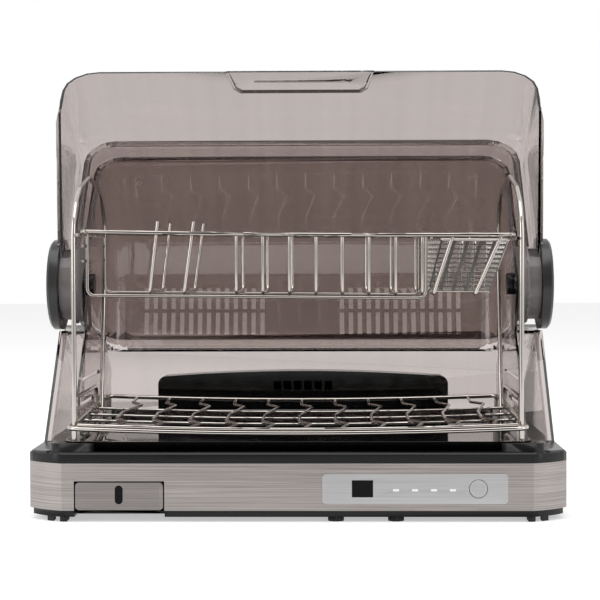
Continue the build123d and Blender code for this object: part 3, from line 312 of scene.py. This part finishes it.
rearCover = dict(rimReach=0.1803, sideX=0.2213, sideRise=0.002, ventLow=0.152, ventHigh=0.208, ventFront=0.12,
                 ventHalf=0.19, ventFacing=0.8)


# the vent slots' walls and ends and the cover's rim faces take darker finishes: painted shade for the dark
# these faces show edge on
def amongVents(place):
    level = rearCover["ventLow"] < place.z < rearCover["ventHigh"]
    return level and place.y > rearCover["ventFront"] and abs(place.x) < rearCover["ventHalf"]


def onVentWall(place, normal):
    return amongVents(place) and abs(normal.x) > rearCover["ventFacing"]


def onVentEnd(place, normal):
    return amongVents(place) and abs(normal.z) > rearCover["ventFacing"]


def onRearRim(place, normal):
    onDrum = hubReach(place) > rearCover["rimReach"] and place.z > hubZ
    onSide = abs(place.x) > rearCover["sideX"] and place.z > hubZ + rearCover["sideRise"]
    return onDrum or onSide


smoothCopy("rear_cover", "smoked", [
    ("smokedPaintedShadeSlotWall", onVentWall), ("ventEndPaintedShade", onVentEnd), ("smokedPaintedShadeRim", onRearRim)])

hub = dict(reach=0.0415, innerX=0.2195)


def onHub(place, normal):
    return hubReach(place) < hub["reach"] and abs(place.x) > hub["innerX"]


middleCover = dict(rimReach=0.1903, sideX=0.2308, catchTurn=-19.0, catchReach=0.15)


# rim faces and the catch take the dark rim tint: painted shade
def onMiddleRim(place, normal):
    return hubReach(place) > middleCover["rimReach"] or abs(place.x) > middleCover["sideX"]


def onMiddleCatch(place, normal):
    # the catch at the cover's rear end, in the dark rim tint: painted shade for the dark band along the
    # cover's lower end
    turn = math.atan2(place.z - hubZ, place.y - hubY)
    return turn < math.radians(middleCover["catchTurn"]) and hubReach(place) > middleCover["catchReach"]


smoothCopy("middle_cover", "smoked", [
    ("smokedPaintedShadeRim", onMiddleRim), ("smokedPaintedShadeRim", onMiddleCatch), ("hubDrum", onHub)])

lid = dict(sideX=0.2428, hubClear=0.050)
# the grip is a shallow dent that runs back from the lid's free edge; its steep sides take the dark rim tint,
# painted shade that draws them as dark lines
grip = dict(edge=(0.015055, 0.434345), turn=57.277, length=0.0327, half=0.074, margin=0.004, steep=0.75,
            sideways=0.2)


# the lid's side faces take the grey lip tint: painted shade for how they look edge on
def onLidRim(place, normal):
    return abs(place.x) > lid["sideX"] and hubReach(place) > lid["hubClear"]


def onGripSide(place, normal):
    turn = math.radians(grip["turn"])
    edgeY, edgeZ = grip["edge"]
    back = (place.y - edgeY) * math.sin(turn) - (place.z - edgeZ) * math.cos(turn)
    outward = abs(normal.y * math.cos(turn) + normal.z * math.sin(turn))
    if abs(place.x) > grip["half"] + grip["margin"]:
        return False
    if back > grip["length"] + grip["margin"] or back < -grip["margin"]:
        return False
    return outward < grip["steep"] and (abs(normal.x) > grip["sideways"] or back > grip["margin"])


smoothCopy("lid", "smoked", [("smokedPaintedShadeRim", onGripSide), ("hubDrum", onHub), ("smokedPaintedShadeLip", onLidRim)])
print("moulded and sheet pieces dressed")


# Geometry Nodes: tools that the trees share

def newTree(name, inputs):
    tree = bpy.data.node_groups.new(name, "GeometryNodeTree")
    sockets = {}
    for label, kind, value in inputs:
        socket = tree.interface.new_socket(name=label, in_out="INPUT", socket_type=kind)
        if value is not None:
            socket.default_value = value
        sockets[label] = socket.identifier
    tree.interface.new_socket(name="Geometry", in_out="OUTPUT", socket_type="NodeSocketGeometry")
    return tree, sockets, addNode(tree, "NodeGroupInput").outputs


def closeTree(tree, source, finish):
    real = addNode(tree, "GeometryNodeRealizeInstances", {0: source})
    smooth = addNode(tree, "GeometryNodeSetShadeSmooth", {0: real.outputs[0]})
    dressed = addNode(tree, "GeometryNodeSetMaterial", {"Geometry": smooth.outputs[0], "Material": finish})
    addNode(tree, "NodeGroupOutput", {0: dressed.outputs[0]})


def grow(name, base, tree, sockets, values):
    # runs a tree on a start mesh and keeps the plain mesh that it makes
    start = bpy.data.objects.new(name + "_start", base)
    scene.collection.objects.link(start)
    modifier = start.modifiers.new("grown", "NODES")
    modifier.node_group = tree
    for label, value in values.items():
        modifier[sockets[label]] = value
    start.update_tag()
    bpy.context.view_layer.update()
    graph = bpy.context.evaluated_depsgraph_get()
    mesh = bpy.data.meshes.new_from_object(start.evaluated_get(graph))
    mesh.name = name
    bpy.data.objects.remove(start)
    piece = bpy.data.objects.new(name, mesh)
    scene.collection.objects.link(piece)
    return piece


# Bent wires: a line of corners becomes a round wire with round bends

def makeWireTree():
    tree, sockets, given = newTree("bentWires", [
        ("Geometry", "NodeSocketGeometry", None), ("Radius", "NodeSocketFloat", 0.002),
        ("Bend", "NodeSocketFloat", 0.006), ("Arc Points", "NodeSocketInt", 6),
        ("Sides", "NodeSocketInt", 16), ("Finish", "NodeSocketMaterial", None)])
    line = addNode(tree, "GeometryNodeMeshToCurve", {"Mesh": given["Geometry"]})
    rounded = addNode(tree, "GeometryNodeFilletCurve", {
        "Curve": line.outputs[0], "Radius": given["Bend"], "Count": given["Arc Points"],
        "Limit Radius": True}, mode="POLY")
    ring = addNode(tree, "GeometryNodeCurvePrimitiveCircle", {
        "Resolution": given["Sides"], "Radius": given["Radius"]})
    tube = addNode(tree, "GeometryNodeCurveToMesh", {
        "Curve": rounded.outputs[0], "Profile Curve": ring.outputs[0], "Fill Caps": True})
    closeTree(tree, tube.outputs[0], given["Finish"])
    return tree, sockets


wireTree, wireSockets = makeWireTree()


def wirePiece(source, radius, bend, runs, arcPoints=6, finish="wire"):
    # runs are lists of corners in millimetres: x, depth, height; one that returns to its start is closed
    verts, edges = [], []
    for run in runs:
        first = len(verts)
        closed = run[0] == run[-1]
        places = run[:-1] if closed else run
        verts += [(x * mm, at(depth), z * mm) for x, depth, z in places]
        edges += [(first + i, first + i + 1) for i in range(len(places) - 1)]
        if closed:
            edges.append((first + len(places) - 1, first))
    base = bpy.data.meshes.new("wireLine")
    base.from_pydata(verts, edges, [])
    piece = grow(source + "_look", base, wireTree, wireSockets, {
        "Radius": radius * mm, "Bend": bend * mm, "Arc Points": arcPoints, "Finish": finishes[finish]})
    return declare(piece, source)


# Lower rack: rim, rods and waves hang a little in the middle, the sides stay level

lower = dict(half=212.6, front=20.0, rear=284.0, height=84.0, rise=7.0, sag=4.5, rail=2.2, rod=1.5,
             rods=(66.0, 110.0, 154.0, 206.0), bend=9.0, rodBend=2.0, topRodInset=9.0, legX=208.2, foot=65.6)
barSteps = 8   # points that carry the sag, on each half of a bar
knots = [i / barSteps for i in range(-barSteps, barSteps + 1)]
front, rear = lower["front"], lower["rear"]
drop = lower["rail"] + lower["rod"]   # from the rim's middle to that of the rods welded under it


def rackHeight(depth):
    return lower["height"] + lower["rise"] * (depth - front) / (rear - front)


def lowerSag(x):
    return lower["sag"] * (1 - (x / lower["half"]) ** 2)


def hangingBar(depth, height, half):
    return [(k * half, depth, height - lowerSag(k * half)) for k in knots]


frontBar = hangingBar(front, rackHeight(front), lower["half"])
rearBar = hangingBar(rear, rackHeight(rear), lower["half"])
wirePiece("lower_rack_rim", lower["rail"], lower["bend"], [
    frontBar + rearBar[::-1] + frontBar[:1]], arcPoints=8)
topRod = hangingBar(front, rackHeight(front) + drop, lower["half"] - lower["topRodInset"])
wirePiece("lower_rack_rods", lower["rod"], lower["rodBend"], [
    hangingBar(depth, rackHeight(depth) - drop, lower["half"]) for depth in lower["rods"]] + [topRod])

# each wave runs from front to rear: how far it swings to the side, at what share of the way
waves = dict(count=11, pitch=35.8, swing=12.0, bend=5.0, endGap=2.4,
             shares=((0, 0), (0.15, 0.07), (1, 0.25), (0, 0.335), (0, 0.52), (1, 0.775), (0, 0.85), (0, 1)))


def waveRun(middle):
    run = []
    for swing, share in waves["shares"]:
        x = middle + swing * waves["swing"]
        depth = front + waves["endGap"] + share * (rear - front - 2 * waves["endGap"])
        run.append((x, depth, rackHeight(depth) + 2 * lower["rod"] - drop - lowerSag(x)))
    return run


wirePiece("lower_rack_waves", lower["rod"], waves["bend"], [
    waveRun((index - (waves["count"] - 1) / 2) * waves["pitch"]) for index in range(waves["count"])])

guards = dict(front=37.5, post=175.0, postSink=2.0, top=111.0, rear=262.0, rearRise=3.9, bend=9.0)
legRuns = []
for side in (-1, 1):
    x = side * lower["legX"]
    legRuns.append([(x, guards["front"], lower["foot"]), (x, guards["front"], guards["top"]),
                    (x, guards["post"], guards["top"]),
                    (x, guards["post"], rackHeight(guards["post"]) - guards["postSink"])])
    legRuns.append([(x, guards["rear"], lower["foot"]),
                    (x, guards["rear"], rackHeight(guards["rear"]) + guards["rearRise"])])
wirePiece("lower_rack_legs", lower["rail"], guards["bend"], legRuns)

# the arch's outline in shares of its reach and rise
arch = dict(front=30.0, reach=216.0, foot=64.4, rise=257.0, bend=46.0,
            shares=((0, 0), (0, 0.856), (0.213, 0.952), (0.495, 1), (0.824, 0.96), (0.986, 0.856), (1, 0.707),
                    (0.835, 0.06), (0.835, 0)))
wirePiece("side_arches", lower["rail"], arch["bend"], [
    [(side * lower["legX"], arch["front"] + back * arch["reach"], arch["foot"] + up * arch["rise"])
     for back, up in arch["shares"]] for side in (-1, 1)], arcPoints=12)
print("lower rack made")

# Upper rack: hangs slightly lower at its right end, as it does in use

upper = dict(rim=2.0, rod=1.5, half=203.6, front=52.0, rear=182.0, height=265.0, sag=1.5, tilt=-0.010,
             rimBend=4.5, bend=7.0)
rails = dict(x=204.5, front=27.0, length=222.0, z=261.5, bend=2.0)
loops = dict(left=-199.0, right=121.0, bottom=204.5)
endBars = dict(x=-202.0, front=46.0, rear=187.0, heights=(251.2, 237.0))
plates = dict(firstX=-58.0, pitch=25.1, count=8, topDrop=1.2)
cups = dict(rows=((-140.0, -132.0), (-107.5, -98.0)), top=275.0, bend=5.0)
basketRest = dict(rows=((128.2, 146.5), (167.2, 192.1)), bottom=208.5, topDrop=1.0, rearLean=6.0, bend=3.0)
loopFront = upper["front"] + upper["rim"] + upper["rod"]
loopRear = upper["rear"] - upper["rim"] - upper["rod"]
cradleBottom = loops["bottom"] + 2 * upper["rod"]   # the cradle wires lie on the loops


def tilted(places):
    return [(x, depth, z + upper["tilt"] * x) for x, depth, z in places]


def rimBar(depth):
    return tilted([(k * upper["half"], depth, upper["height"] - upper["sag"] * (1 - k * k)) for k in knots])


def loopRun(depth):
    return tilted([(loops["left"], depth, upper["height"]), (loops["left"], depth, loops["bottom"]),
                   (loops["right"], depth, loops["bottom"]), (loops["right"], depth, upper["height"])])


def cradle(bottomX, frontX, rearX, bottomZ, topZ):
    return tilted([(frontX, loopFront, topZ), (bottomX, loopFront, bottomZ), (bottomX, loopRear, bottomZ),
                   (rearX, loopRear, topZ)])


wirePiece("hanging_rails", upper["rod"], rails["bend"], [
    tilted([(side * rails["x"], rails["front"], rails["z"]),
            (side * rails["x"], rails["front"] + rails["length"], rails["z"])]) for side in (-1, 1)])
# the rim and loops take the darker wire finish: a painted reflection of the dark room
wirePiece("upper_rack_rim", upper["rim"], upper["rimBend"], [
    rimBar(upper["front"]) + rimBar(upper["rear"])[::-1] + rimBar(upper["front"])[:1]], finish="wirePaintedDarkReflection")
endBarRuns = [tilted([(endBars["x"], endBars["front"], z), (endBars["x"], endBars["rear"], z)])
              for z in endBars["heights"]]
wirePiece("upper_rack_loops", upper["rod"], upper["bend"], [
    loopRun(loopFront), loopRun(loopRear)] + endBarRuns, finish="wirePaintedDarkReflection")
plateX = [plates["firstX"] + plates["pitch"] * i for i in range(plates["count"])]
wirePiece("plate_wires", upper["rod"], upper["bend"], [
    cradle(x, x, x, cradleBottom, upper["height"] - plates["topDrop"]) for x in plateX])
wirePiece("cup_wires", upper["rod"], cups["bend"], [
    cradle(low, high, high, cradleBottom, cups["top"])[::-1] for low, high in cups["rows"]])
wirePiece("basket_wires", upper["rod"], basketRest["bend"], [
    cradle(low, high, low + basketRest["rearLean"], basketRest["bottom"],
           upper["height"] - basketRest["topDrop"])
    for low, high in basketRest["rows"]])
print("upper rack made")


# Cutlery basket: punched stainless sheet, hemmed with a wire round its mouth

def makeSheetTree():
    tree, sockets, given = newTree("punchedSheet", [
        ("Geometry", "NodeSocketGeometry", None),
        ("Columns", "NodeSocketInt", 10), ("Rows", "NodeSocketInt", 10),
        ("Low Near", "NodeSocketVector", None), ("Low Far", "NodeSocketVector", None),
        ("High Near", "NodeSocketVector", None), ("High Far", "NodeSocketVector", None),
        ("Open Share", "NodeSocketFloat", 0.74), ("Thickness", "NodeSocketFloat", 0.0008),
        ("Finish", "NodeSocketMaterial", None)])

    def add(first, second):
        return addNode(tree, "ShaderNodeMath", {0: first, 1: second}, operation="ADD").outputs[0]

    def between(factor, first, last):
        return addNode(tree, "ShaderNodeMix", {0: factor, 4: first, 5: last}, data_type="VECTOR").outputs[1]

    # a grid whose faces are inset and deleted is a sheet with holes
    grid = addNode(tree, "GeometryNodeMeshGrid", {
        "Size X": 1.0, "Size Y": 1.0, "Vertices X": add(given["Columns"], 1.0),
        "Vertices Y": add(given["Rows"], 1.0)})
    inner = addNode(tree, "GeometryNodeExtrudeMesh", {
        "Mesh": grid.outputs[0], "Offset Scale": 0.0, "Individual": True}, mode="FACES")
    shrunk = addNode(tree, "GeometryNodeScaleElements", {
        "Geometry": inner.outputs[0], "Selection": inner.outputs[1],
        "Scale": given["Open Share"]}, domain="FACE")
    punched = addNode(tree, "GeometryNodeDeleteGeometry", {
        "Geometry": shrunk.outputs[0], "Selection": inner.outputs[1]}, domain="FACE")
    # it is stretched between the four corners of its wall
    spot = addNode(tree, "GeometryNodeInputPosition")
    parts = addNode(tree, "ShaderNodeSeparateXYZ", {0: spot.outputs[0]})
    across, upward = add(parts.outputs[0], 0.5), add(parts.outputs[1], 0.5)
    low = between(across, given["Low Near"], given["Low Far"])
    high = between(across, given["High Near"], given["High Far"])
    placed = addNode(tree, "GeometryNodeSetPosition", {
        "Geometry": punched.outputs[0], "Position": between(upward, low, high)})
    # the second face and the walls of the holes
    flipped = addNode(tree, "GeometryNodeFlipFaces", {0: placed.outputs[0]})
    thick = addNode(tree, "GeometryNodeExtrudeMesh", {
        "Mesh": placed.outputs[0], "Individual": False, "Offset Scale": given["Thickness"]}, mode="FACES")
    joined = addNode(tree, "GeometryNodeJoinGeometry")
    for half in (flipped, thick):
        tree.links.new(half.outputs[0], joined.inputs[0])
    closeTree(tree, joined.outputs[0], given["Finish"])
    return tree, sockets


sheetTree, sheetSockets = makeSheetTree()
# slotPitches: the holes of the near and far walls are slots, this many times as wide
basket = dict(pitch=4.6, thickness=0.7, slotPitches=3.0, nearDepth=58.4, farDepth=175.6,
              floorZ=211.2, topZ=260.0, nearLow=(123.0, 181.7), nearHigh=(135.6, 199.6),
              farLow=(124.0, 188.0), farHigh=(124.8, 190.7),
              hem=1.1, hemBend=3.0, hemArcPoints=5, hemSides=10)


def corners(ends, depth, z):
    # the left and right corner of an edge, leaning as the upper rack does
    return [Vector((x * mm, at(depth), (z + upper["tilt"] * x) * mm)) for x in ends]


def punchedWall(side, places):
    a, b, c, d = places
    pitch = basket["pitch"] * mm
    widePitch = pitch * basket["slotPitches"] if side in ("near", "far") else pitch
    wide = max((b - a).length, (d - c).length)
    tall = max((c - a).length, (d - b).length)
    return grow("basketWall_" + side, bpy.data.meshes.new("blankSheet"), sheetTree, sheetSockets, {
        "Columns": round(wide / widePitch), "Rows": round(tall / pitch),
        "Low Near": a, "Low Far": b, "High Near": c, "High Far": d,
        "Thickness": basket["thickness"] * mm, "Finish": finishes["basketSheet"]})


nearLow = corners(basket["nearLow"], basket["nearDepth"], basket["floorZ"])
nearHigh = corners(basket["nearHigh"], basket["nearDepth"], basket["topZ"])
farLow = corners(basket["farLow"], basket["farDepth"], basket["floorZ"])
farHigh = corners(basket["farHigh"], basket["farDepth"], basket["topZ"])
walls = {
    "left": (nearLow[0], farLow[0], nearHigh[0], farHigh[0]),
    "right": (farLow[1], nearLow[1], farHigh[1], nearHigh[1]),
    "near": (nearLow[1], nearLow[0], nearHigh[1], nearHigh[0]),
    "far": (farLow[0], farLow[1], farHigh[0], farHigh[1]),
    "floor": (farLow[0], farLow[1], nearLow[0], nearLow[1]),
}
basketParts = [punchedWall(side, places) for side, places in walls.items()]
mouth = bpy.data.meshes.new("wireLine")
mouth.from_pydata([tuple(p) for p in (*nearHigh, *farHigh[::-1])], [(0, 1), (1, 2), (2, 3), (3, 0)], [])
basketParts.append(grow("basketHem", mouth, wireTree, wireSockets, {
    "Radius": basket["hem"] * mm, "Bend": basket["hemBend"] * mm, "Arc Points": basket["hemArcPoints"],
    "Sides": basket["hemSides"], "Finish": finishes["basketSheet"]}))
work = bmesh.new()
for part in basketParts:
    work.from_mesh(part.data)
    bpy.data.objects.remove(part)
basketMesh = bpy.data.meshes.new("cutlery_basket_look")
work.to_mesh(basketMesh)
work.free()
basketMesh.materials.append(finishes["basketSheet"])
basketPiece = bpy.data.objects.new("cutlery_basket_look", basketMesh)
scene.collection.objects.link(basketPiece)
declare(basketPiece, "cutlery_basket")
print("basket made")

# Camera: lens and turn are counted in pixels of a square picture, from the point straight ahead

shot = dict(picture=600, focal=1648, leftPixels=30, downPixels=50, roll=-0.15, place=(0.0305, -1.700, 0.249),
            sensor=36)
camera = bpy.data.cameras.new("camera")
camera.sensor_width = shot["sensor"]
camera.lens = shot["focal"] / shot["picture"] * shot["sensor"]
eye = bpy.data.objects.new("camera", camera)
scene.collection.objects.link(eye)
scene.camera = eye
eye.location = shot["place"]
yaw = math.atan(shot["leftPixels"] / shot["focal"])
pitch = math.atan(shot["downPixels"] / shot["focal"])
look = Vector((-math.sin(yaw) * math.cos(pitch), math.cos(yaw) * math.cos(pitch), -math.sin(pitch)))
roll = Quaternion((0, 0, 1), math.radians(shot["roll"]))
eye.rotation_mode = "QUATERNION"
eye.rotation_quaternion = look.to_track_quat("-Z", "Y") @ roll

# Stage: white floor, a dark card behind the camera that the shiny pieces mirror, white world, three softboxes

floor = dict(half=6, tone=0.84, glow=0.46)
card = dict(left=-0.42, right=0.55, y=-1.85, low=0.01, high=3.2, colour="#1c1b1b")
sky = dict(diffuse=0.52, seen=1.0)
white = (1, 1, 1, 1)


def flatPiece(name, places, material):
    mesh = bpy.data.meshes.new(name)
    mesh.from_pydata(places, [], [(0, 1, 2, 3)])
    mesh.materials.append(material)
    piece = bpy.data.objects.new(name, mesh)
    scene.collection.objects.link(piece)
    return piece


def whiteStudioFloor():
    # white sweep that is lit from all sides, so that it stays white and still takes the shadow
    material, tree, output = newMaterial("whiteStudioFloor")
    diffuse = addNode(tree, "ShaderNodeBsdfDiffuse", {"Color": (floor["tone"],) * 3 + (1,)})
    glow = addNode(tree, "ShaderNodeEmission", {"Color": white, "Strength": floor["glow"]})
    both = addNode(tree, "ShaderNodeAddShader", {0: diffuse.outputs[0], 1: glow.outputs[0]})
    tree.links.new(both.outputs[0], output.inputs[0])
    return material


def darkStudioCard():
    # matt black board, as photographers stand one beside the camera
    material, tree, output = newMaterial("darkStudioCard")
    matt = addNode(tree, "ShaderNodeBsdfDiffuse", {"Color": linear(card["colour"])})
    tree.links.new(matt.outputs[0], output.inputs[0])
    return material


flatPiece("floor", [
    (x * floor["half"], y * floor["half"], 0) for x, y in ((-1, -1), (1, -1), (1, 1), (-1, 1))],
    whiteStudioFloor())
flatPiece("frontCard", [
    (card["left"], card["y"], card["low"]), (card["right"], card["y"], card["low"]),
    (card["right"], card["y"], card["high"]), (card["left"], card["y"], card["high"])],
    darkStudioCard())

world = bpy.data.worlds.new("studio")
scene.world = world
world.use_nodes = True
tree = world.node_tree
tree.nodes.clear()
path = addNode(tree, "ShaderNodeLightPath").outputs


def larger(first, second):
    return addNode(tree, "ShaderNodeMath", {0: first, 1: second}, operation="MAXIMUM").outputs[0]


# full white where it is seen, mirrored or seen through the covers, dimmer as a light on matt faces
direct = larger(larger(path["Is Camera Ray"], path["Is Glossy Ray"]), path["Is Transmission Ray"])
level = addRange(tree, direct, (0.0, 1.0), sky["diffuse"], sky["seen"])
background = addNode(tree, "ShaderNodeBackground", {"Color": white, "Strength": level})
addNode(tree, "ShaderNodeOutputWorld", {0: background.outputs[0]})

# softboxes that all point at the middle of the dryer
lampTarget = (0, 0, 0.2)
lamps = {
    "topSoftbox": dict(place=(0, -0.4, 2.2), size=(2.4, 1.6), power=26),
    "leftSoftbox": dict(place=(-2.0, -1.2, 1.0), size=(1.2, 1.6), power=14),
    "rightSoftbox": dict(place=(2.1, -1.0, 0.9), size=(1.0, 1.4), power=8),
}


def addLamp(name, place, size, power):
    data = bpy.data.lights.new(name, "AREA")
    data.shape = "RECTANGLE"
    data.size, data.size_y = size
    data.energy = power
    lamp = bpy.data.objects.new(name, data)
    lamp.location = place
    lamp.rotation_euler = (Vector(lampTarget) - Vector(place)).to_track_quat("-Z", "Y").to_euler()
    scene.collection.objects.link(lamp)


for name, settings in lamps.items():
    addLamp(name, **settings)
print("stage set")
